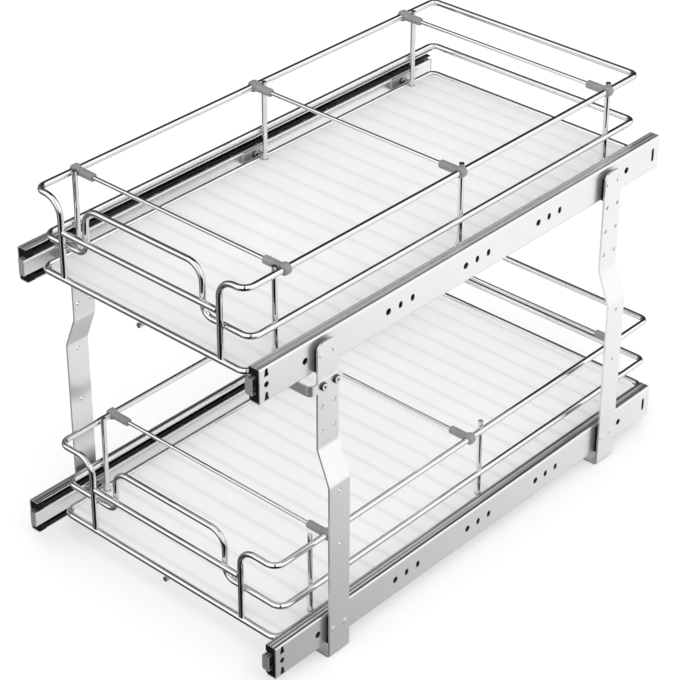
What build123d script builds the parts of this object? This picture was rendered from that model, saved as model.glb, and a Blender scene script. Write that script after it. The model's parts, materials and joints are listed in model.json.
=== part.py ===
from build123d import *
import os

# Two-tier pull-out cabinet basket, in millimetres.
# +Z is up, the baskets pull out towards -Y, and the origin is on the cabinet floor
# midway between the slides and midway along the overall depth.

os.makedirs("parts", exist_ok=True)

# ---- telescopic slides: cabinet rail, middle rail and drawer rail, nested on balls ----
slide_length = 560.0
slide_height = 35.0
slide_depth = 12.7
slide_steel = 1.2
slide_bend = 2.4
ball_diameter = 3.175
ball_clearance = 0.0625
cabinet_flange = 11.0
middle_web_start = 2.6
middle_flange_end = 11.6
drawer_flange_start = 5.1
outer_ball_line = 6.2
inner_ball_line = 8.2
balls_per_row = 8
ball_pitch = 34.0
cage_steel = 0.5
cage_gap = 0.4
cage_hole_clearance = 0.15
cage_end_margin = 12.0
drawer_nose = 4.5
crease_width = 0.7
crease_depth = 0.3
crease_lines = (3.9, 8.3)
rear_stop_inset = 2.0
rear_stop_height = 13.0
rail_stop_gap = 2.0
bumper_length = 7.0
bumper_depth = 12.4
bumper_gap = 0.5
bumper_notch_gap = 0.6

# ---- holes in the cabinet rail, measured back from its front end ----
end_hole_setback = 8.0
end_hole_diameter = 5.5
end_window_width = 5.5
end_window_height = 7.6
end_window_rise = 11.6
screw_hole_setback = 54.5
rear_hole_setback = 507.0
screw_hole_diameter = 6.5
group_setbacks = (176.0, 281.0, 386.0)
group_pitch = 16.0
group_slot_width = 5.0
group_slot_height = 6.8
rear_slot_inset = 10.0
rear_slot_width = 4.0
rear_slot_height = 14.0

# ---- tiers: height of each slide above the floor and half the distance between its outer faces ----
tier_slide_bottom = {"lower": 13.0, "upper": 299.5}
tier_half_width = {"lower": 163.0, "upper": 149.5}

# ---- posts: bent flat strips that carry the slides ----
post_width = 26.0
post_steel = 2.0
post_corner = 9.0
post_setbacks = {"front": 76.5, "rear": 478.5}
post_top_drop = 4.0
spacer_thickness = 4.0
spacer_side_margin = 2.2
spacer_rise = 1.0
spacer_height = {"lower": 29.0, "upper": 22.0}
joggle_top = 224.0
joggle_bottom = 190.0
joggle_bend = 8.0
foot_length = 30.0
foot_bend = 4.0
foot_hole_diameter = 5.5
foot_hole_inset = 8.0
post_hole_diameter = 4.3
post_hole_pitch = 16.0
strap_drop = 11.0
post_row_drops = {"front": (strap_drop, 32.5, 58.5), "rear": (6.5, 32.5, 58.5)}
post_single_holes = (182.0, 124.0)
rivet_diameter = 4.0
rivet_head_diameter = 5.6
rivet_head_height = 0.7
rivet_rise = 1.5
rivet_round_share = 0.6
post_cutter_reach = 20.0

# ---- front strap: flat bar round the fronts of the two front posts ----
strap_steel = 1.5
strap_height = 10.0
strap_bend = 5.0
strap_front_gap = 9.2
strap_rear_overhang = 3.5
screw_head_diameter = 8.0
screw_head_height = 2.6
screw_shank_diameter = 4.0
screw_shank_beyond = 3.0
screw_recess_diameter = 2.6
screw_recess_depth = 1.2
pan_round_share = 0.45

# ---- wire baskets, whose setbacks are measured back from the rails or from the basket's own front ----
basket_depth = {"lower": 553.5, "upper": 537.5}
basket_setback = {"lower": 24.5, "upper": 8.0}
strut_setbacks = {"lower": (50.0, 290.0), "upper": (40.0, 281.0)}
rear_strut_inset = {"lower": 45.5, "upper": 38.5}
basket_side_gap = 22.5
rim_wire = 6.0
strut_wire = 5.0
cross_wire = 3.0
support_wire = 5.0
weld_gap = 0.05
ring_rise = 17.5
middle_rise = 49.0
bar_rise = 65.5
handle_rise = 96.5
rim_rise = 98.0
strut_stub = {"lower": 3.0, "upper": 0.5}
corner_radius = 10.0
rear_corner_radius = 7.5
upright_side_gap = {"lower": 43.5, "upper": 30.0}
upright_bend = 18.0
handle_side_gap = {"lower": 69.0, "upper": 55.5}
handle_top_bend = 16.0
handle_foot_bend = 11.0
cross_wire_pitch = 25.0
liner_thickness = 1.2
liner_edge_gap = 0.6
liner_corner = 8.0
liner_notch_gap = 1.0

# ---- short angles that join a basket to its drawer rails, one beside each strut ----
bracket_length = 30.0
bracket_steel = 1.5
bracket_leg_height = 12.5
bracket_inner_reach = 2.0
bracket_screw_head = 7.0
bracket_screw_head_height = 2.2
bracket_screw_shank = 3.9
bracket_screw_beyond = 1.6
bracket_screw_rise = 19.0
bracket_hole_clearance = 0.1

# ---- dividers: a rod between two clip-on connectors that run on the rim ----
divider_rod = 4.0
connector_head = 11.2
connector_head_length = 8.0
connector_sleeve = 8.2
connector_reach = 23.0
connector_socket = 14.5
running_clearance = 0.05
connector_round = 2.2
sleeve_round = 1.0
divider_offsets = {
    "lower": {"front": 17.0, "middle": -23.0, "rear": -10.0},
    "upper": {"front": 7.0, "middle": -8.0, "rear": -9.0},
}

# ---- values that follow from the ones above ----
ball_lane = ball_diameter + 2 * ball_clearance
middle_inset = slide_steel + ball_lane
drawer_inset = middle_inset + slide_steel + ball_lane
overall_depth = drawer_nose + basket_setback["lower"] + basket_depth["lower"] + rim_wire / 2
rail_front = drawer_nose - overall_depth / 2
rail_rear = rail_front + slide_length
slide_middle = rail_front + slide_length / 2
post_y = {place: rail_front + setback for place, setback in post_setbacks.items()}
middle_rail_front = rail_front + bumper_length
moving_rail_rear = rail_rear - rear_stop_inset - slide_steel - rail_stop_gap
rim_r = rim_wire / 2
strut_r = strut_wire / 2
cross_r = cross_wire / 2
support_r = support_wire / 2
SIDES = {"right": 1, "left": -1}
TIERS = ("lower", "upper")


def save(name, *solids):
    shape = solids[0] if len(solids) == 1 else Compound(children=list(solids))
    export_step(shape, f"parts/{name}.step")


def box(x, y, z):
    """Box from three (low, high) pairs, given in any order."""
    low = [min(pair) for pair in (x, y, z)]
    size = [abs(pair[1] - pair[0]) for pair in (x, y, z)]
    return Pos(*low) * Box(*size, align=(Align.MIN, Align.MIN, Align.MIN))


def rod(start, end, radius):
    """Straight round bar between two points."""
    start = Vector(*start)
    direction = Vector(*end) - start
    plane = Plane(origin=start, z_dir=direction)
    return plane * Cylinder(radius, direction.length, align=(Align.CENTER, Align.CENTER, Align.MIN))


def bent_wire(points, radii, radius):
    """Round wire along straight runs joined by tangent arcs."""
    path = FilletPolyline(*points, radius=radii)
    section = (path ^ 0) * Circle(radius)
    return sweep(section, path)


def slide_x(tier, side, inward):
    """Row x of a point that lies a distance inward of a slide's outer face."""
    return SIDES[side] * (tier_half_width[tier] - inward)


def channel(tier, side, outer_x, inner_x, inset, y_front, y_rear, opens_inward):
    """C-shaped rail with rounded bends beside its web."""
    depth = inner_x - outer_x
    height = slide_height - 2 * inset
    whole = RectangleRounded(2 * depth, height, slide_bend)
    hollow = RectangleRounded(2 * (depth - slide_steel), height - 2 * slide_steel, slide_bend - slide_steel)
    cover = Pos(-depth, 0) * Rectangle(2 * depth, 2 * height)
    profile = (whole - hollow) - cover
    # the web of the sketch is at its +X end
    web_x = outer_x if opens_inward else inner_x
    open_x = inner_x if opens_inward else outer_x
    direction = slide_x(tier, side, web_x) - slide_x(tier, side, open_x)
    z_mid = tier_slide_bottom[tier] + slide_height / 2
    origin = (slide_x(tier, side, open_x), y_front, z_mid)
    plane = Plane(origin=origin, x_dir=(direction, 0, 0), z_dir=(0, 1, 0))
    return extrude(plane * profile, y_rear - y_front)


def rail_slot(tier, side, y, rise, width, height):
    """Upright slot cutter through the web of a cabinet rail."""
    x = slide_x(tier, side, slide_steel / 2)
    plane = Plane(origin=(x, y, tier_slide_bottom[tier] + rise), x_dir=(0, 1, 0), z_dir=(1, 0, 0))
    outline = SlotOverall(height, width, rotation=90)
    return extrude(plane * outline, slide_steel, both=True)


def rail_hole(tier, side, y, rise, diameter):
    """Round hole cutter through the web of a cabinet rail."""
    z = tier_slide_bottom[tier] + rise
    x = slide_x(tier, side, 0)
    reach = slide_steel * 2
    return rod((x - reach, y, z), (x + reach, y, z), diameter / 2)


def rail_window(tier, side, y, rise):
    """Tapered window cutter near the front end of a cabinet rail."""
    half_w = end_window_width / 2
    half_h = end_window_height / 2
    taper = half_w / 2
    points = [(-half_w, -half_h), (half_w, -half_h), (half_w - taper, half_h), (-half_w + taper, half_h)]
    x = slide_x(tier, side, slide_steel / 2)
    plane = Plane(origin=(x, y, tier_slide_bottom[tier] + rise), x_dir=(0, 1, 0), z_dir=(1, 0, 0))
    return extrude(plane * make_face(Polyline(*points, close=True)), slide_steel, both=True)


def cabinet_rail(tier, side):
    rail = channel(tier, side, 0, cabinet_flange, 0, rail_front, rail_rear, True)
    middle = slide_height / 2
    bottom = tier_slide_bottom[tier]
    cutters = [
        rail_hole(tier, side, rail_front + end_hole_setback, middle, end_hole_diameter),
        rail_hole(tier, side, rail_front + screw_hole_setback, middle, screw_hole_diameter),
        rail_hole(tier, side, rail_front + rear_hole_setback, middle, screw_hole_diameter),
        rail_slot(tier, side, rail_rear - rear_slot_inset, middle, rear_slot_width, rear_slot_height),
    ]
    for rise in (middle - end_window_rise, middle + end_window_rise):
        cutters.append(rail_window(tier, side, rail_front + end_hole_setback, rise))
    for setback in group_setbacks:
        y = rail_front + setback
        cutters.append(rail_hole(tier, side, y - group_pitch, middle, screw_hole_diameter))
        cutters.append(rail_slot(tier, side, y, middle, group_slot_width, group_slot_height))
        cutters.append(rail_slot(tier, side, y + group_pitch, middle, group_slot_width, group_slot_height))
    for y in post_y.values():
        for offset in (-post_hole_pitch / 2, post_hole_pitch / 2):
            cutters.append(rail_hole(tier, side, y + offset, middle + rivet_rise, rivet_diameter))
    for line in crease_lines:
        xs = (slide_x(tier, side, line), slide_x(tier, side, line + crease_width))
        ends = (rail_front, rail_rear)
        cutters.append(box(xs, ends, (bottom, bottom + crease_depth)))
        cutters.append(box(xs, ends, (bottom + slide_height - crease_depth, bottom + slide_height)))
    for cutter in cutters:
        rail -= cutter
    stop_x = (slide_x(tier, side, slide_steel / 2), slide_x(tier, side, middle_flange_end))
    stop_y = (rail_rear - rear_stop_inset - slide_steel, rail_rear - rear_stop_inset)
    half = rear_stop_height / 2
    stop_z = (bottom + middle - half, bottom + middle + half)
    return rail + box(stop_x, stop_y, stop_z)


def middle_rail(tier, side):
    ends = (middle_rail_front, moving_rail_rear)
    return channel(tier, side, middle_web_start, middle_flange_end, middle_inset, *ends, True)


def drawer_rail(tier, side):
    front = rail_front - drawer_nose
    ends = (front, moving_rail_rear)
    rail = channel(tier, side, drawer_flange_start, slide_depth, drawer_inset, *ends, False)
    bottom = tier_slide_bottom[tier]
    plate_x = (slide_x(tier, side, drawer_flange_start), slide_x(tier, side, slide_depth - slide_steel / 2))
    edge = drawer_inset + slide_steel / 2
    plate_z = (bottom + edge, bottom + slide_height - edge)
    rail += box(plate_x, (front, front + slide_steel), plate_z)
    for y in BasketSizes(tier).strut_y:
        rail -= bracket_screw_cutter(tier, side, y)
    return rail


def cage(tier, side, web_x, row_x, row_inset):
    """U-shaped strip that spaces one ring of balls, with a hole round each ball."""
    half_length = (balls_per_row - 1) * ball_pitch / 2 + cage_end_margin
    bottom = tier_slide_bottom[tier]
    flange_end = row_x + ball_diameter / 2 + 2 * cage_steel
    inset = row_inset + ball_lane / 2 - cage_steel / 2
    low = bottom + inset
    high = bottom + slide_height - inset
    ends = (slide_middle - half_length, slide_middle + half_length)
    xs = (slide_x(tier, side, web_x), slide_x(tier, side, flange_end))
    strip = box(xs, ends, (low, high))
    inner_x = (slide_x(tier, side, web_x + cage_steel), slide_x(tier, side, flange_end + cage_steel))
    strip -= box(inner_x, ends, (low + cage_steel, high - cage_steel))
    hole_r = ball_diameter / 2 + cage_hole_clearance
    x = slide_x(tier, side, row_x)
    for index in range(balls_per_row):
        y = ball_y(index)
        strip -= rod((x, y, low - cage_steel), (x, y, low + 2 * cage_steel), hole_r)
        strip -= rod((x, y, high - 2 * cage_steel), (x, y, high + cage_steel), hole_r)
    return strip


def ball_y(index):
    return slide_middle + (index - (balls_per_row - 1) / 2) * ball_pitch


def ball_rings(tier, row_x, row_inset):
    """Loose balls of both slides of a tier, above and below."""
    bottom = tier_slide_bottom[tier]
    inset = row_inset + ball_lane / 2
    heights = (bottom + inset, bottom + slide_height - inset)
    return [
        Pos(slide_x(tier, side, row_x), ball_y(index), z) * Sphere(ball_diameter / 2)
        for side in SIDES
        for z in heights
        for index in range(balls_per_row)
    ]


def front_bumper(tier, side):
    """Plastic end piece on the front of a middle rail, open for the drawer rail."""
    bottom = tier_slide_bottom[tier]
    low = bottom + slide_steel + bumper_gap
    high = bottom + slide_height - slide_steel - bumper_gap
    xs = (slide_x(tier, side, slide_steel + bumper_gap), slide_x(tier, side, bumper_depth))
    ends = (rail_front, middle_rail_front)
    block = box(xs, ends, (low, high))
    edge = drawer_inset - bumper_notch_gap
    notch_start = drawer_flange_start - bumper_notch_gap
    notch_x = (slide_x(tier, side, notch_start), slide_x(tier, side, slide_depth))
    return block - box(notch_x, ends, (bottom + edge, bottom + slide_height - edge))


def post_outer_x(tier):
    return tier_half_width[tier] + spacer_thickness + post_steel


def post(side, place):
    """Flat strip with a joggle between the tiers and a foot bent in under the lower slide."""
    sign = SIDES[side]
    y = post_y[place]
    top = tier_slide_bottom["upper"] + slide_height - post_top_drop
    upper_x = sign * (post_outer_x("upper") - post_steel / 2)
    lower_x = sign * (post_outer_x("lower") - post_steel / 2)
    foot_x = lower_x + sign * (post_steel / 2 - foot_length)
    points = [
        (upper_x, y, top),
        (upper_x, y, joggle_top),
        (lower_x, y, joggle_bottom),
        (lower_x, y, post_steel / 2),
        (foot_x, y, post_steel / 2),
    ]
    path = FilletPolyline(*points, radius=[joggle_bend, joggle_bend, foot_bend])
    start = Plane(origin=points[0], x_dir=(0, 1, 0), z_dir=(0, 0, -1))
    strip = sweep(start * Rectangle(post_width, post_steel), path)
    strip = fillet(strip.edges().filter_by(Axis.X).group_by(Axis.Z)[-1], post_corner)
    cut_x = (upper_x - sign * post_cutter_reach, lower_x + sign * post_cutter_reach)
    for hole_y, z in post_holes(place):
        strip -= rod((cut_x[0], hole_y, z), (cut_x[1], hole_y, z), post_hole_diameter / 2)
    for hole_y, z in rivet_places(place):
        strip -= rod((cut_x[0], hole_y, z), (cut_x[1], hole_y, z), rivet_diameter / 2)
    hole_x = foot_x + sign * foot_hole_inset
    return strip - rod((hole_x, y, -post_steel), (hole_x, y, 2 * post_steel), foot_hole_diameter / 2)


def strap_mid_z():
    return tier_slide_bottom["upper"] - strap_drop


def post_holes(place):
    """(y, z) of each plain hole of a post: paired rows below the upper slide, then single ones."""
    y = post_y[place]
    half = post_hole_pitch / 2
    rows = [tier_slide_bottom["upper"] - drop for drop in post_row_drops[place]]
    pairs = [(y + offset, z) for z in rows for offset in (-half, half)]
    return pairs + [(y, z) for z in post_single_holes]


def rivet_places(place):
    half = post_hole_pitch / 2
    rises = [tier_slide_bottom[tier] + slide_height / 2 + rivet_rise for tier in TIERS]
    return [(post_y[place] + offset, z) for z in rises for offset in (-half, half)]


def spacer(tier, side, place):
    """Plastic block between a cabinet rail and a post."""
    half = post_width / 2 - spacer_side_margin
    y = post_y[place]
    bottom = tier_slide_bottom[tier]
    block = box(
        (slide_x(tier, side, 0), slide_x(tier, side, -spacer_thickness)),
        (y - half, y + half),
        (bottom + spacer_rise, bottom + spacer_rise + spacer_height[tier]),
    )
    x = slide_x(tier, side, 0)
    z = bottom + slide_height / 2 + rivet_rise
    reach = 2 * spacer_thickness
    for offset in (-post_hole_pitch / 2, post_hole_pitch / 2):
        block -= rod((x - reach, y + offset, z), (x + reach, y + offset, z), rivet_diameter / 2)
    return block


def rivets(tier):
    """Rivets through post, spacer and cabinet rail, flush inside the rail."""
    solids = []
    z = tier_slide_bottom[tier] + slide_height / 2 + rivet_rise
    for side, sign in SIDES.items():
        inner = slide_x(tier, side, slide_steel)
        outer = sign * post_outer_x(tier)
        for y in post_y.values():
            for offset in (-post_hole_pitch / 2, post_hole_pitch / 2):
                shank = rod((inner, y + offset, z), (outer, y + offset, z), rivet_diameter / 2)
                head_end = (outer + sign * rivet_head_height, y + offset, z)
                head = rod((outer, y + offset, z), head_end, rivet_head_diameter / 2)
                rim = head.edges().filter_by(GeomType.CIRCLE).sort_by(Axis.X)
                head = fillet(rim[-1] if sign > 0 else rim[0], rivet_head_height * rivet_round_share)
                solids.append(shank + head)
    return solids


def front_strap():
    """Flat bar across the front posts, lapped back over their outer faces."""
    x = post_outer_x("upper") + strap_steel / 2
    front = post_y["front"] - post_width / 2 - strap_front_gap - strap_steel / 2
    rear = post_y["front"] + post_width / 2 + strap_rear_overhang
    z = strap_mid_z()
    path = FilletPolyline((-x, rear, z), (-x, front, z), (x, front, z), (x, rear, z), radius=strap_bend)
    start = Plane(origin=(-x, rear, z), x_dir=(0, 0, 1), z_dir=(0, -1, 0))
    bar = sweep(start * Rectangle(strap_height, strap_steel), path)
    for sign in SIDES.values():
        for offset in (-post_hole_pitch / 2, post_hole_pitch / 2):
            y = post_y["front"] + offset
            reach = 2 * strap_steel
            bar -= rod((sign * x - reach, y, z), (sign * x + reach, y, z), post_hole_diameter / 2)
    return bar


def pan_screw(x_seat, sign, y, z, head_d, head_h, shank_d, shank_length):
    """Screw with a rounded head that sits on x_seat and a shank that runs inwards from it."""
    head = rod((x_seat, y, z), (x_seat + sign * head_h, y, z), head_d / 2)
    rims = head.edges().filter_by(GeomType.CIRCLE).sort_by(Axis.X)
    head = fillet(rims[-1] if sign > 0 else rims[0], head_h * pan_round_share)
    shank = rod((x_seat - sign * shank_length, y, z), (x_seat, y, z), shank_d / 2)
    tip = x_seat + sign * head_h
    recess = rod((tip - sign * screw_recess_depth, y, z), (tip + sign, y, z), screw_recess_diameter / 2)
    return head + shank - recess


def strap_screws():
    seat = post_outer_x("upper") + strap_steel
    length = strap_steel + post_steel + screw_shank_beyond
    half = post_hole_pitch / 2
    return [
        pan_screw(
            sign * seat, sign, post_y["front"] + offset, strap_mid_z(),
            screw_head_diameter, screw_head_height, screw_shank_diameter, length,
        )
        for sign in SIDES.values()
        for offset in (-half, half)
    ]


class BasketSizes:
    """Places that all pieces of one tier's basket share."""

    def __init__(self, tier):
        self.bottom = tier_slide_bottom[tier]
        self.half = tier_half_width[tier] - basket_side_gap
        self.upright_x = self.half - upright_side_gap[tier]
        self.handle_x = self.half - handle_side_gap[tier]
        self.front = rail_front + basket_setback[tier]
        self.rear = self.front + basket_depth[tier]
        self.ring_z = self.bottom + ring_rise
        self.middle_z = self.bottom + middle_rise
        self.bar_z = self.bottom + bar_rise
        self.handle_z = self.bottom + handle_rise
        self.rim_z = self.bottom + rim_rise
        self.seat_z = self.ring_z - rim_r
        self.cross_z = self.seat_z + cross_r
        self.liner_z = self.seat_z + cross_wire
        self.strut_y = [self.front + setback for setback in strut_setbacks[tier]]
        self.strut_y.append(self.rear - rear_strut_inset[tier])
        self.strut_x = self.half - rim_r - strut_r
        self.strut_top = self.rim_z + rim_r + strut_stub[tier]


def rim_wire_of(sizes):
    """Top wire round both sides and the back, whose front ends turn down as the uprights."""
    u = sizes.upright_x
    low = sizes.ring_z + rim_r + weld_gap
    points = [
        (-u, sizes.front, low),
        (-u, sizes.front, sizes.rim_z),
        (-sizes.half, sizes.front, sizes.rim_z),
        (-sizes.half, sizes.rear, sizes.rim_z),
        (sizes.half, sizes.rear, sizes.rim_z),
        (sizes.half, sizes.front, sizes.rim_z),
        (u, sizes.front, sizes.rim_z),
        (u, sizes.front, low),
    ]
    half_radii = [upright_bend, corner_radius, rear_corner_radius]
    radii = half_radii + half_radii[::-1]
    return bent_wire(points, radii, rim_r)


def ring_wire_of(sizes):
    """Closed bottom wire, begun and closed in the middle of the back."""
    x, z = sizes.half, sizes.ring_z
    points = [
        (0, sizes.rear, z),
        (-x, sizes.rear, z),
        (-x, sizes.front, z),
        (x, sizes.front, z),
        (x, sizes.rear, z),
        (weld_gap, sizes.rear, z),
    ]
    return bent_wire(points, [rear_corner_radius, corner_radius, corner_radius, rear_corner_radius], rim_r)


def handle_wire_of(sizes):
    """Middle wire, which rises at the front behind the bar as the pull handle."""
    front = sizes.front + rim_wire + weld_gap
    x, z, h = sizes.half, sizes.middle_z, sizes.handle_x
    points = [
        (0, sizes.rear, z),
        (-x, sizes.rear, z),
        (-x, front, z),
        (-h, front, z),
        (-h, front, sizes.handle_z),
        (h, front, sizes.handle_z),
        (h, front, z),
        (x, front, z),
        (x, sizes.rear, z),
        (weld_gap, sizes.rear, z),
    ]
    half_radii = [rear_corner_radius, corner_radius, handle_foot_bend, handle_top_bend]
    radii = half_radii + half_radii[::-1]
    return bent_wire(points, radii, rim_r)


def front_bar_of(sizes):
    reach = sizes.upright_x - rim_r - weld_gap
    return rod((-reach, sizes.front, sizes.bar_z), (reach, sizes.front, sizes.bar_z), rim_r)


def struts_of(sizes):
    x = sizes.strut_x - weld_gap
    low = sizes.seat_z + weld_gap
    return [
        rod((sign * x, y, low), (sign * x, y, sizes.strut_top), strut_r)
        for sign in SIDES.values()
        for y in sizes.strut_y
    ]


def cross_wire_places(sizes):
    """Front-to-back places of the cross wires, evenly spaced in each bay between struts."""
    stops = [sizes.front, *sizes.strut_y, sizes.rear]
    places = []
    for low, high in zip(stops, stops[1:]):
        count = max(1, round((high - low) / cross_wire_pitch))
        step = (high - low) / count
        places += [low + (index + 0.5) * step for index in range(count)]
    return places


def cross_wire_reach(sizes, y):
    """Half length of a cross wire, which ends just inside the ring, also beside its corners."""
    reach = sizes.half - rim_r - weld_gap
    for edge, bend in ((y - sizes.front, corner_radius), (sizes.rear - y, rear_corner_radius)):
        beyond = bend - edge + cross_r
        if beyond > 0:
            reach = min(reach, sizes.half - bend + ((bend - rim_r) ** 2 - beyond**2) ** 0.5 - weld_gap)
    return reach


def floor_wires_of(sizes):
    wires = []
    for y in cross_wire_places(sizes):
        reach = cross_wire_reach(sizes, y)
        wires.append(rod((-reach, y, sizes.cross_z), (reach, y, sizes.cross_z), cross_r))
    z = sizes.seat_z - support_r - weld_gap
    wires.append(rod((0, sizes.front - rim_r, z), (0, sizes.rear + rim_r, z), support_r))
    return wires


def liner_of(sizes):
    """Loose plastic sheet on the cross wires, notched round the struts."""
    half = sizes.half - rim_r - liner_edge_gap
    front = sizes.front + rim_r + liner_edge_gap
    rear = sizes.rear - rim_r - liner_edge_gap
    low = sizes.liner_z + weld_gap
    plane = Plane(origin=(0, (front + rear) / 2, low))
    sheet = extrude(plane * RectangleRounded(2 * half, rear - front, liner_corner), liner_thickness)
    for sign in SIDES.values():
        for y in sizes.strut_y:
            ends = ((sign * sizes.strut_x, y, low - weld_gap), (sign * sizes.strut_x, y, sizes.rim_z))
            sheet -= rod(*ends, strut_r + liner_notch_gap)
    return sheet


def bracket_screw_cutter(tier, side, y):
    """Hole through the web of a drawer rail and the leg of a basket angle."""
    z = tier_slide_bottom[tier] + bracket_screw_rise
    x = slide_x(tier, side, slide_depth)
    reach = 2 * bracket_steel
    return rod((x - reach, y, z), (x + reach, y, z), bracket_screw_shank / 2 + bracket_hole_clearance)


def bracket_of(tier, side, sizes, y):
    """Short angle: one leg under the bottom wire and strut, one against the drawer rail."""
    ends = (y - bracket_length / 2, y + bracket_length / 2)
    outer = slide_x(tier, side, slide_depth)
    leg_inner = slide_x(tier, side, slide_depth + bracket_steel)
    reach = SIDES[side] * (sizes.half - rim_r - strut_wire - bracket_inner_reach)
    top = sizes.seat_z - weld_gap
    shelf = box((outer, reach), ends, (top - bracket_steel, top))
    leg = box((outer, leg_inner), ends, (top - bracket_steel, top - bracket_steel + bracket_leg_height))
    return shelf + leg - bracket_screw_cutter(tier, side, y)


def bracket_screws_of(tier, sizes):
    z = tier_slide_bottom[tier] + bracket_screw_rise
    length = bracket_steel + slide_steel + bracket_screw_beyond
    return [
        pan_screw(
            slide_x(tier, side, slide_depth + bracket_steel), -sign, y, z,
            bracket_screw_head, bracket_screw_head_height, bracket_screw_shank, length,
        )
        for side, sign in SIDES.items()
        for y in sizes.strut_y
    ]


def connector(sizes, side, y):
    """Clip with a barrel round the rim wire and a sleeve that holds the divider rod."""
    sign = SIDES[side]
    x, z = sign * sizes.half, sizes.rim_z
    half = connector_head_length / 2
    head = rod((x, y - half, z), (x, y + half, z), connector_head / 2)
    head = fillet(head.edges().filter_by(GeomType.CIRCLE), connector_round)
    tip = x - sign * connector_reach
    sleeve = rod((x, y, z), (tip, y, z), connector_sleeve / 2)
    rims = sleeve.edges().filter_by(GeomType.CIRCLE).sort_by(Axis.X)
    sleeve = fillet(rims[0] if sign > 0 else rims[-1], sleeve_round)
    rod_bore_r = divider_rod / 2 + running_clearance
    bore_start = tip + sign * (connector_socket + running_clearance)
    clip = head + sleeve
    clip -= rod((bore_start, y, z), (tip - sign, y, z), rod_bore_r)
    return clip - rod((x, y - connector_head, z), (x, y + connector_head, z), rim_r + running_clearance)


def divider_rod_of(sizes, y):
    reach = sizes.half - connector_reach + connector_socket
    return rod((-reach, y, sizes.rim_z), (reach, y, sizes.rim_z), divider_rod / 2)


def make_frame():
    for side in SIDES:
        for place in post_y:
            save(f"{place}_{side}_post", post(side, place))
    save("front_strap", front_strap())
    save("strap_screws", *strap_screws())
    save("slide_spacers", *[spacer(t, s, p) for t in TIERS for s in SIDES for p in post_y])
    save("slide_rivets", *[rivet for tier in TIERS for rivet in rivets(tier)])


def make_slides(tier):
    for side in SIDES:
        save(f"{tier}_{side}_cabinet_rail", cabinet_rail(tier, side))
        save(f"{tier}_{side}_middle_rail", middle_rail(tier, side))
        save(f"{tier}_{side}_drawer_rail", drawer_rail(tier, side))
    rows = {
        "outer": (slide_steel + cage_gap, outer_ball_line, slide_steel),
        "inner": (middle_web_start + slide_steel + cage_gap, inner_ball_line, middle_inset + slide_steel),
    }
    for name, (web_x, line, inset) in rows.items():
        save(f"{tier}_{name}_cages", *[cage(tier, side, web_x, line, inset) for side in SIDES])
        save(f"{tier}_{name}_balls", *ball_rings(tier, line, inset))
    save(f"{tier}_front_bumpers", *[front_bumper(tier, side) for side in SIDES])


def make_basket(tier):
    sizes = BasketSizes(tier)
    save(f"{tier}_basket_rim", rim_wire_of(sizes))
    save(f"{tier}_basket_bottom_ring", ring_wire_of(sizes))
    save(f"{tier}_basket_handle_wire", handle_wire_of(sizes))
    save(f"{tier}_basket_front_bar", front_bar_of(sizes))
    save(f"{tier}_basket_struts", *struts_of(sizes))
    save(f"{tier}_basket_floor_wires", *floor_wires_of(sizes))
    save(f"{tier}_liner", liner_of(sizes))
    brackets = [bracket_of(tier, side, sizes, y) for side in SIDES for y in sizes.strut_y]
    save(f"{tier}_basket_brackets", *brackets)
    save(f"{tier}_bracket_screws", *bracket_screws_of(tier, sizes))
    for place, strut_y in zip(divider_offsets[tier], sizes.strut_y):
        y = strut_y + divider_offsets[tier][place]
        save(f"{tier}_{place}_divider_rod", divider_rod_of(sizes, y))
        save(f"{tier}_{place}_divider_clips", *[connector(sizes, side, y) for side in SIDES])


make_frame()
for tier_name in TIERS:
    make_slides(tier_name)
    make_basket(tier_name)
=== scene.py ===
import json
import math

import bpy
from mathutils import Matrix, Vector

# Two-tier pull-out cabinet basket: finishes, studio and camera round the fixed frame, in metres.

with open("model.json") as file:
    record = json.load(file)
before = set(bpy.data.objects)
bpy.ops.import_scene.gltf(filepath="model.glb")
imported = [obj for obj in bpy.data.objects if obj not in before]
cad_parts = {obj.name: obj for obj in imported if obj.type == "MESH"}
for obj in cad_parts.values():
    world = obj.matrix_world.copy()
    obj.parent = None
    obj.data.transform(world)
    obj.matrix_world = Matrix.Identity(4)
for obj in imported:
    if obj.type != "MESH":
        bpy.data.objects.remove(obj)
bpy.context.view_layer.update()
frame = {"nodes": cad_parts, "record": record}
nodes = frame["nodes"]

# ---- camera, from the perspective of the photograph ----
CAMERA_PLACE = (1.2187, -1.37465, 1.3401)
CAMERA_AZIMUTH = 42.4
CAMERA_ELEVATION = 31.3
CAMERA_SENSOR = 36.0
CAMERA_LENS = 118.8
CAMERA_SHIFT = (0.0154, -0.0782)

# ---- studio ----
FLOOR_RADIUS = 12.0
FLOOR_TONE = (0.66, 0.66, 0.663)
FLOOR_MOTTLE = 0.99
FLOOR_CLOUDS = 2
FLOOR_ROUGHNESS = 0.7
FLOOR_SHINE = 0.2
FLOOR_GLOW = 0.35
DISC_VERTICES = 96
KEY_PLACE = (1.6, -1.2, 2.6)
KEY_SIZE = 2.6
KEY_POWER = 22.0
KEY_TARGET = (0, 0, 0.2)
ROOM_STRENGTH = 1.0
# cards that reflections alone see, below and above the horizon: (azimuth from +X in degrees, brightness)
CARDS_BELOW = (
    (-180, 0.30), (-150, 0.22), (-128, 0.08), (-112, 0.42), (-90, 0.5), (-82, 0.01), (-16, 0.01), (-6, 0.5),
    (6, 1.05), (80, 1.05), (98, 0.3), (112, 0.02), (150, 0.04), (180, 0.30),
)
CARDS_ABOVE = (
    (-180, 0.18), (-166, 0.22), (-150, 1.25), (-57, 1.25), (-51, 0.02), (-44, 0.02), (-38, 1.25),
    (66, 1.25), (82, 0.05), (122, 0.02), (180, 0.18),
)
# the two rings of cards blend where a direction's height is within this of the horizon
CARD_BLEND = 0.08
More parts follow.
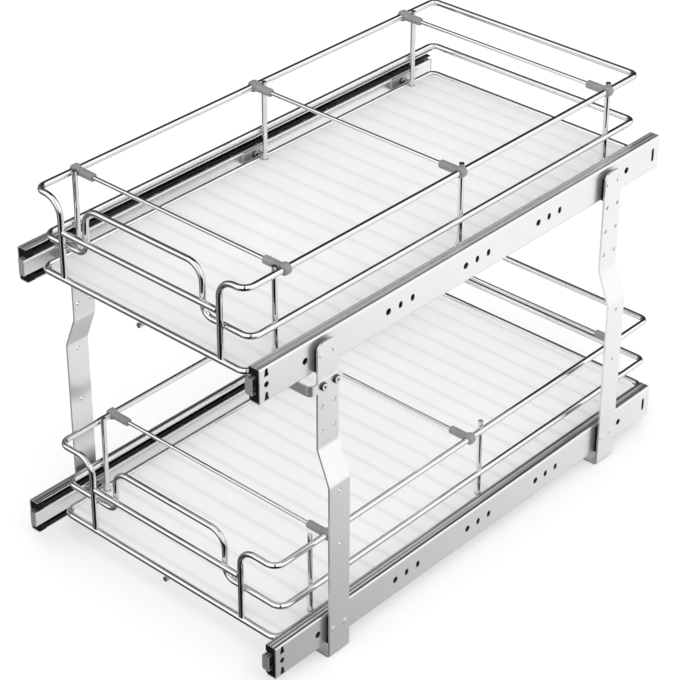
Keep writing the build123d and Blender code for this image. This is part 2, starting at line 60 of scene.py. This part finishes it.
# disc that darkens reflections alone; its reach and its fade are multiples of its radii
SHADE_RADII = (0.30, 0.38)
SHADE_REACH = 3.0
SHADE_FADE = (0.55, 2.25)
SHADE_TONE = 0.36
SHADE_CENTRE = (0.25, -0.45, 0.0005)

# ---- grain, wear and painted light: noise scales per metre, (strength, distance) of bumps, (start, end) of fades ----
COOL_TINT = 1.01
CHROME_CLOUDS = 14
CHROME_WEAR = 60
CHROME_GRAIN = 900
CHROME_BUMP = (0.02, 0.0002)
# painted shade on fastener faces turned off X: its tone, and where it fades in and out
PAINTED_SHADE_TONE = (0.08, 0.08, 0.08, 1)
PAINTED_SHADE_FADE = (0.6, 0.97)
STEEL_CLOUDS = 24
STREAK_GRAIN = 2600
STREAK_STRETCH = 0.015
STREAK_SHARE = 0.2
STREAK_BUMP = (0.05, 0.0002)
# painted reflection and shade of rolled grooves on flat tops, which aren't modelled: noise, stretch, tones,
# edges and top fade
GROOVE_REFLECTION_GRAIN = 420
GROOVE_REFLECTION_STRETCH = 0.002
GROOVE_REFLECTION_TONES = (0.1, 0.72)
GROOVE_REFLECTION_EDGES = (0.4, 0.54)
REFLECTION_TOP_FADE = (0.5, 0.95)
PLASTIC_FLOW = 45
PLASTIC_GRAIN = 1800
PLASTIC_BUMP = (0.12, 0.0003)
SHEET_MOTTLE = 18
SHEET_WEAR = 220
SHEET_ROUGHNESS = (0.4, 0.52)
SHEET_GRAIN = 2400
SHEET_BUMP = (0.06, 0.0002)
SHEET_SHINE = 0.3

# ---- liners, with a painted shadow line over each cross wire ----
CROSS_WIRE_PITCH = 0.025
# along Y, measured inwards from the centres of a basket's front and rear wires
LINER_INSET = 0.0036
STRUT_SETBACKS = {"lower": (0.050, 0.290), "upper": (0.040, 0.281)}
REAR_STRUT_INSET = {"lower": 0.0455, "upper": 0.0385}
# the lower liner is brighter than the upper: painted light, making up for the shade under the upper basket
LINER_TONES_AND_PAINTED_LIGHT = {"lower": (0.97, 1.0), "upper": (0.84, 0.87)}
LINER_ALPHA = 0.85
# painted shadow lines of the cross wires on the liners
WIRE_SHADOW_STRENGTH = 0.16
WIRE_SHADOW_TONE = (0.3, 0.3, 0.31, 1)
WIRE_SHADOW_EDGES = (0.32, 0.5)

LINER_NODES = [name for name in nodes if name.endswith("_liner")]

# ---- sockets of a colour Mix node ----
COLOUR_A, COLOUR_B, COLOUR_RESULT = 6, 7, 2


# ---------------------------------------------------------------- node material helpers


def new_material(name):
    """Material with a Principled shader; returns it, its node tree and the shader."""
    material = bpy.data.materials.new(name)
    material.use_nodes = True
    tree = material.node_tree
    return material, tree, tree.nodes["Principled BSDF"]


def object_noise(tree, scale, stretch=(1, 1, 1), detail=4.0, seed=0.0):
    """Noise in the piece's own frame, stretched along the axes whose factor is small."""
    coordinates = tree.nodes.new("ShaderNodeTexCoord")
    mapping = tree.nodes.new("ShaderNodeMapping")
    mapping.inputs["Scale"].default_value = stretch
    mapping.inputs["Location"].default_value = (seed, seed, seed)
    noise = tree.nodes.new("ShaderNodeTexNoise")
    noise.inputs["Scale"].default_value = scale
    noise.inputs["Detail"].default_value = detail
    tree.links.new(coordinates.outputs["Object"], mapping.inputs["Vector"])
    tree.links.new(mapping.outputs["Vector"], noise.inputs["Vector"])
    return noise.outputs["Fac"]


def between(tree, factor, low, high, start=0.3, end=0.7):
    """Value that runs from low to high as factor goes from start to end."""
    ranger = tree.nodes.new("ShaderNodeMapRange")
    ranger.inputs["From Min"].default_value = start
    ranger.inputs["From Max"].default_value = end
    ranger.inputs["To Min"].default_value = low
    ranger.inputs["To Max"].default_value = high
    tree.links.new(factor, ranger.inputs["Value"])
    return ranger.outputs["Result"]


def tone_between(tree, factor, low, high, start=0.3, end=0.7):
    """Colour that runs from low to high as factor goes from start to end."""
    ramp = tree.nodes.new("ShaderNodeValToRGB")
    ramp.color_ramp.elements[0].position = start
    ramp.color_ramp.elements[0].color = (*low, 1)
    ramp.color_ramp.elements[1].position = end
    ramp.color_ramp.elements[1].color = (*high, 1)
    tree.links.new(factor, ramp.inputs["Fac"])
    return ramp.outputs["Color"]


def combine(tree, operation, first, second):
    """Result of a math operation on a socket and a socket or number."""
    node = tree.nodes.new("ShaderNodeMath")
    node.operation = operation
    for socket, value in zip(node.inputs, (first, second)):
        if isinstance(value, float):
            socket.default_value = value
        else:
            tree.links.new(value, socket)
    return node.outputs["Value"]


def mix_colours(tree, factor, low, high):
    """Colour that runs from low to high, each a socket or a plain colour."""
    mix = tree.nodes.new("ShaderNodeMix")
    mix.data_type = "RGBA"
    tree.links.new(factor, mix.inputs["Factor"])
    for socket, value in ((mix.inputs[COLOUR_A], low), (mix.inputs[COLOUR_B], high)):
        if isinstance(value, tuple):
            socket.default_value = value
        else:
            tree.links.new(value, socket)
    return mix.outputs[COLOUR_RESULT]


def facing(tree, axis):
    """How far the surface faces along an axis of the piece's own frame, -1 to 1."""
    split = tree.nodes.new("ShaderNodeSeparateXYZ")
    tree.links.new(tree.nodes.new("ShaderNodeTexCoord").outputs["Normal"], split.inputs["Vector"])
    return split.outputs[axis]


def add_bump(tree, shader, height, strength, distance):
    """Fine relief on the shader's normal."""
    bump = tree.nodes.new("ShaderNodeBump")
    bump.inputs["Strength"].default_value = strength
    bump.inputs["Distance"].default_value = distance
    tree.links.new(height, bump.inputs["Height"])
    tree.links.new(bump.outputs["Normal"], shader.inputs["Normal"])


def grey(value):
    """Neutral colour, a trace cool."""
    return (value, value, value * COOL_TINT)


# ---------------------------------------------------------------- materials


def chrome(name, low, high, rough, painted_shade_sides=False):
    """Polished chrome plate, faintly clouded and grained; its flag adds painted shade on faces turned off
    X.
    """
    material, tree, shader = new_material(name)
    clouds = object_noise(tree, CHROME_CLOUDS, detail=6)
    tone = tone_between(tree, clouds, grey(low), grey(high))
    # painted shade: faces turned off the piece's X axis are darkened
    if painted_shade_sides:
        x_facing_share = combine(tree, "MULTIPLY", facing(tree, "X"), facing(tree, "X"))
        tone = mix_colours(tree, between(tree, x_facing_share, 0.0, 1.0, *PAINTED_SHADE_FADE), PAINTED_SHADE_TONE, tone)
    tree.links.new(tone, shader.inputs["Base Color"])
    worn = object_noise(tree, CHROME_WEAR, seed=3)
    tree.links.new(between(tree, worn, *rough), shader.inputs["Roughness"])
    shader.inputs["Metallic"].default_value = 1.0
    add_bump(tree, shader, object_noise(tree, CHROME_GRAIN, seed=7), *CHROME_BUMP)
    return material


def rolled_steel(name, low, high, rough, streak_axis, metallic, painted_groove_reflection=False):
    """Steel sheet with fine rolling streaks along one axis; its flag adds painted reflection stripes on
    flat tops.
    """
    material, tree, shader = new_material(name)
    stretch = [1.0, 1.0, 1.0]
    stretch[streak_axis] = STREAK_STRETCH
    streaks = object_noise(tree, STREAK_GRAIN, stretch, detail=3)
    clouds = object_noise(tree, STEEL_CLOUDS, detail=6, seed=5)
    mix = tree.nodes.new("ShaderNodeMix")
    mix.inputs["Factor"].default_value = STREAK_SHARE
    tree.links.new(clouds, mix.inputs["A"])
    tree.links.new(streaks, mix.inputs["B"])
    worn = mix.outputs["Result"]
    tone = tone_between(tree, worn, grey(low), grey(high))
    # painted reflection: dark and light stripes on upward faces, where grooves would mirror the room
    if painted_groove_reflection:
        groove_reflection_noise = object_noise(tree, GROOVE_REFLECTION_GRAIN, (1, GROOVE_REFLECTION_STRETCH, GROOVE_REFLECTION_STRETCH), detail=1, seed=1)
        painted_reflection_bands = tone_between(tree, groove_reflection_noise, *map(grey, GROOVE_REFLECTION_TONES), *GROOVE_REFLECTION_EDGES)
        tone = mix_colours(tree, between(tree, facing(tree, "Z"), 0.0, 1.0, *REFLECTION_TOP_FADE), tone, painted_reflection_bands)
    tree.links.new(tone, shader.inputs["Base Color"])
    tree.links.new(between(tree, worn, *rough), shader.inputs["Roughness"])
    shader.inputs["Metallic"].default_value = metallic
    add_bump(tree, shader, streaks, *STREAK_BUMP)
    return material


def moulded_plastic(name, low, high, rough, shine):
    """Moulded plastic with a fine spark-eroded grain and faint flow marks."""
    material, tree, shader = new_material(name)
    flow = object_noise(tree, PLASTIC_FLOW, detail=5, seed=2)
    tree.links.new(tone_between(tree, flow, grey(low), grey(high)), shader.inputs["Base Color"])
    tree.links.new(between(tree, flow, *rough), shader.inputs["Roughness"])
    shader.inputs["Specular IOR Level"].default_value = shine
    add_bump(tree, shader, object_noise(tree, PLASTIC_GRAIN, seed=9), *PLASTIC_BUMP)
    return material


def wire_stops(tier, liner):
    """Front, struts and rear of a basket along Y, worked out from its liner's ends."""
    ends = [corner[1] for corner in liner.bound_box]
    front, rear = min(ends) - LINER_INSET, max(ends) + LINER_INSET
    struts = [front + setback for setback in STRUT_SETBACKS[tier]]
    return (front, *struts, rear - REAR_STRUT_INSET[tier], rear)


# mask for the painted shadow of the cross wires under a liner
def painted_wire_shadows(tree, stops):
    """1 over a cross wire and 0 between wires, which stand midway in equal steps from stop to stop."""
    coordinates = tree.nodes.new("ShaderNodeTexCoord")
    split = tree.nodes.new("ShaderNodeSeparateXYZ")
    tree.links.new(coordinates.outputs["Object"], split.inputs["Vector"])
    total = None
    for low, high in zip(stops, stops[1:]):
        count = max(1, round((high - low) / CROSS_WIRE_PITCH))
        run = between(tree, split.outputs["Y"], 0.0, count, low, high)
        total = run if total is None else combine(tree, "ADD", total, run)
    return between(tree, combine(tree, "PINGPONG", total, 0.5), 0.0, 1.0, *WIRE_SHADOW_EDGES)


def frosted_sheet(name, lit_tones, stops):
    """Frosted translucent sheet with a faint painted shadow over each cross wire below it."""
    material, tree, shader = new_material(name)
    mottle = object_noise(tree, SHEET_MOTTLE, detail=5, seed=4)
    sheet = tone_between(tree, mottle, *map(grey, lit_tones))
    # painted shadow over each cross wire
    wire_shadow = between(tree, painted_wire_shadows(tree, stops), 0.0, WIRE_SHADOW_STRENGTH, 0.0, 1.0)
    shaded = mix_colours(tree, wire_shadow, sheet, WIRE_SHADOW_TONE)
    tree.links.new(shaded, shader.inputs["Base Color"])
    worn = object_noise(tree, SHEET_WEAR, seed=6)
    tree.links.new(between(tree, worn, *SHEET_ROUGHNESS), shader.inputs["Roughness"])
    shader.inputs["Alpha"].default_value = LINER_ALPHA
    shader.inputs["Specular IOR Level"].default_value = SHEET_SHINE
    add_bump(tree, shader, object_noise(tree, SHEET_GRAIN, seed=8), *SHEET_BUMP)
    return material


def make_materials():
    """Material of each slot in the record but the liners' frosted_plastic, made for each tier with its own
    painted light.
    """
    return {
        "post_steel": rolled_steel("post_steel", 0.84, 0.88, (0.27, 0.33), 2, metallic=0.85),
        # the slide tops get painted reflection stripes
        "slide_steel": rolled_steel("slide_steel", 0.84, 0.87, (0.27, 0.3), 1, metallic=0.85, painted_groove_reflection=True),
        # the middle rails and ball cages are near black: painted shade for the dark inside the slides
        "greased_steel": rolled_steel("greased_steel", 0.03, 0.05, (0.4, 0.55), 1, metallic=0.9),
        "cage_steel": rolled_steel("cage_steel", 0.006, 0.012, (0.5, 0.62), 1, metallic=0.9),
        "ball_steel": chrome("ball_steel", 0.7, 0.85, (0.08, 0.14)),
        "chrome_wire": chrome("chrome_wire", 0.74, 0.84, (0.03, 0.07)),
        # the fasteners get painted shade on their sides
        "bright_fasteners": chrome("bright_fasteners", 0.78, 0.88, (0.08, 0.14), painted_shade_sides=True),
        "black_plastic": moulded_plastic("black_plastic", 0.003, 0.006, (0.5, 0.62), 0.15),
        "grey_plastic": moulded_plastic("grey_plastic", 0.22, 0.29, (0.28, 0.4), 0.6),
    }


def dress_nodes(materials):
    """Gives each frame node the material of its slot in the record, and each liner its own sheet."""
    slot_of = {part["node"]: part["material_slot"] for part in frame["record"]["subparts"]}
    for name, piece in nodes.items():
        piece.data.materials.clear()
        if name in LINER_NODES:
            tier = name.split("_")[0]
            # each tier's sheet has its own painted light tone
            sheet = frosted_sheet(tier + "_frosted_plastic", LINER_TONES_AND_PAINTED_LIGHT[tier], wire_stops(tier, piece))
            piece.data.materials.append(sheet)
            piece.visible_shadow = False
            piece.visible_diffuse = False
        else:
            piece.data.materials.append(materials[slot_of[name]])


# ---------------------------------------------------------------- studio


def flat_disc(name, radius, centre=(0, 0, 0)):
    """Level disc that belongs to the studio."""
    bpy.ops.mesh.primitive_circle_add(
        vertices=DISC_VERTICES, radius=radius, fill_type="NGON", location=centre
    )
    disc = bpy.context.object
    disc.name = name
    return disc


def make_floor():
    """Plain pale floor with a slight glow, left out of reflections."""
    floor = flat_disc("studio_floor", FLOOR_RADIUS)
    material, tree, shader = new_material("studio_floor")
    tone = tuple(FLOOR_MOTTLE * value for value in FLOOR_TONE)
    ramp = tone_between(tree, object_noise(tree, FLOOR_CLOUDS), tone, FLOOR_TONE)
    tree.links.new(ramp, shader.inputs["Base Color"])
    shader.inputs["Roughness"].default_value = FLOOR_ROUGHNESS
    shader.inputs["Specular IOR Level"].default_value = FLOOR_SHINE
    shader.inputs["Emission Color"].default_value = (1, 1, 1, 1)
    shader.inputs["Emission Strength"].default_value = FLOOR_GLOW
    floor.data.materials.append(material)
    floor.visible_glossy = False


def make_shade_disc():
    """Tinted disc just above the floor that only reflections see, fading outwards."""
    disc = flat_disc("studio_shade", SHADE_RADII[1] * SHADE_REACH, SHADE_CENTRE)
    for ray in ("camera", "diffuse", "transmission", "volume_scatter", "shadow"):
        setattr(disc, "visible_" + ray, False)
    material = bpy.data.materials.new("studio_shade")
    material.use_nodes = True
    tree = material.node_tree
    tree.nodes.clear()
    coordinates = tree.nodes.new("ShaderNodeTexCoord")
    mapping = tree.nodes.new("ShaderNodeMapping")
    mapping.inputs["Scale"].default_value = (1 / SHADE_RADII[0], 1 / SHADE_RADII[1], 1)
    length = tree.nodes.new("ShaderNodeVectorMath")
    length.operation = "LENGTH"
    tree.links.new(coordinates.outputs["Object"], mapping.inputs["Vector"])
    tree.links.new(mapping.outputs["Vector"], length.inputs[0])
    tint = between(tree, length.outputs["Value"], SHADE_TONE, 1.0, *SHADE_FADE)
    clear = tree.nodes.new("ShaderNodeBsdfTransparent")
    output = tree.nodes.new("ShaderNodeOutputMaterial")
    tree.links.new(tint, clear.inputs["Color"])
    tree.links.new(clear.outputs["BSDF"], output.inputs["Surface"])
    disc.data.materials.append(material)


def card_ramp(tree, vector, cards):
    """Brightness round the compass, from (azimuth, brightness) pairs."""
    gradient = tree.nodes.new("ShaderNodeTexGradient")
    gradient.gradient_type = "RADIAL"
    ramp = tree.nodes.new("ShaderNodeValToRGB")
    elements = ramp.color_ramp.elements
    while len(elements) < len(cards):
        elements.new(1.0)
    for element, (azimuth, tone) in zip(elements, cards):
        element.position = azimuth / 360 + 0.5
        element.color = (tone, tone, tone, 1)
    tree.links.new(vector, gradient.inputs["Vector"])
    tree.links.new(gradient.outputs["Fac"], ramp.inputs["Fac"])
    return ramp.outputs["Color"]


def make_world():
    """Even pale room; reflections alone see bright and dark cards in its place."""
    world = bpy.data.worlds.new("studio_world")
    bpy.context.scene.world = world
    world.use_nodes = True
    tree = world.node_tree
    background = tree.nodes["Background"]
    direction = tree.nodes.new("ShaderNodeTexCoord").outputs["Generated"]
    split = tree.nodes.new("ShaderNodeSeparateXYZ")
    tree.links.new(direction, split.inputs["Vector"])
    height = between(tree, split.outputs["Z"], 0.0, 1.0, -CARD_BLEND, CARD_BLEND)
    cards = mix_colours(
        tree, height, card_ramp(tree, direction, CARDS_BELOW), card_ramp(tree, direction, CARDS_ABOVE)
    )
    rays = tree.nodes.new("ShaderNodeLightPath")
    room = mix_colours(tree, rays.outputs["Is Glossy Ray"], (1, 1, 1, 1), cards)
    tree.links.new(room, background.inputs["Color"])
    background.inputs["Strength"].default_value = ROOM_STRENGTH


def make_area_light(name, place, size, power, target):
    """Round soft light that reflections don't see."""
    light = bpy.data.lights.new(name, "AREA")
    light.shape = "DISK"
    light.size = size
    light.energy = power
    lamp = bpy.data.objects.new(name, light)
    bpy.context.scene.collection.objects.link(lamp)
    lamp.location = place
    lamp.rotation_euler = (Vector(target) - Vector(place)).to_track_quat("-Z", "Y").to_euler()
    lamp.visible_glossy = False


def make_camera():
    """Camera at the photograph's viewing angle."""
    data = bpy.data.cameras.new("camera")
    data.sensor_width = CAMERA_SENSOR
    data.lens = CAMERA_LENS
    data.shift_x, data.shift_y = CAMERA_SHIFT
    camera = bpy.data.objects.new("camera", data)
    bpy.context.scene.collection.objects.link(camera)
    camera.location = CAMERA_PLACE
    camera.rotation_euler = (math.radians(90 - CAMERA_ELEVATION), 0, math.radians(CAMERA_AZIMUTH))
    bpy.context.scene.camera = camera


make_camera()
make_floor()
make_shade_disc()
make_world()
make_area_light("key_light", KEY_PLACE, KEY_SIZE, KEY_POWER, KEY_TARGET)
bpy.context.scene.view_settings.view_transform = "Standard"
dress_nodes(make_materials())
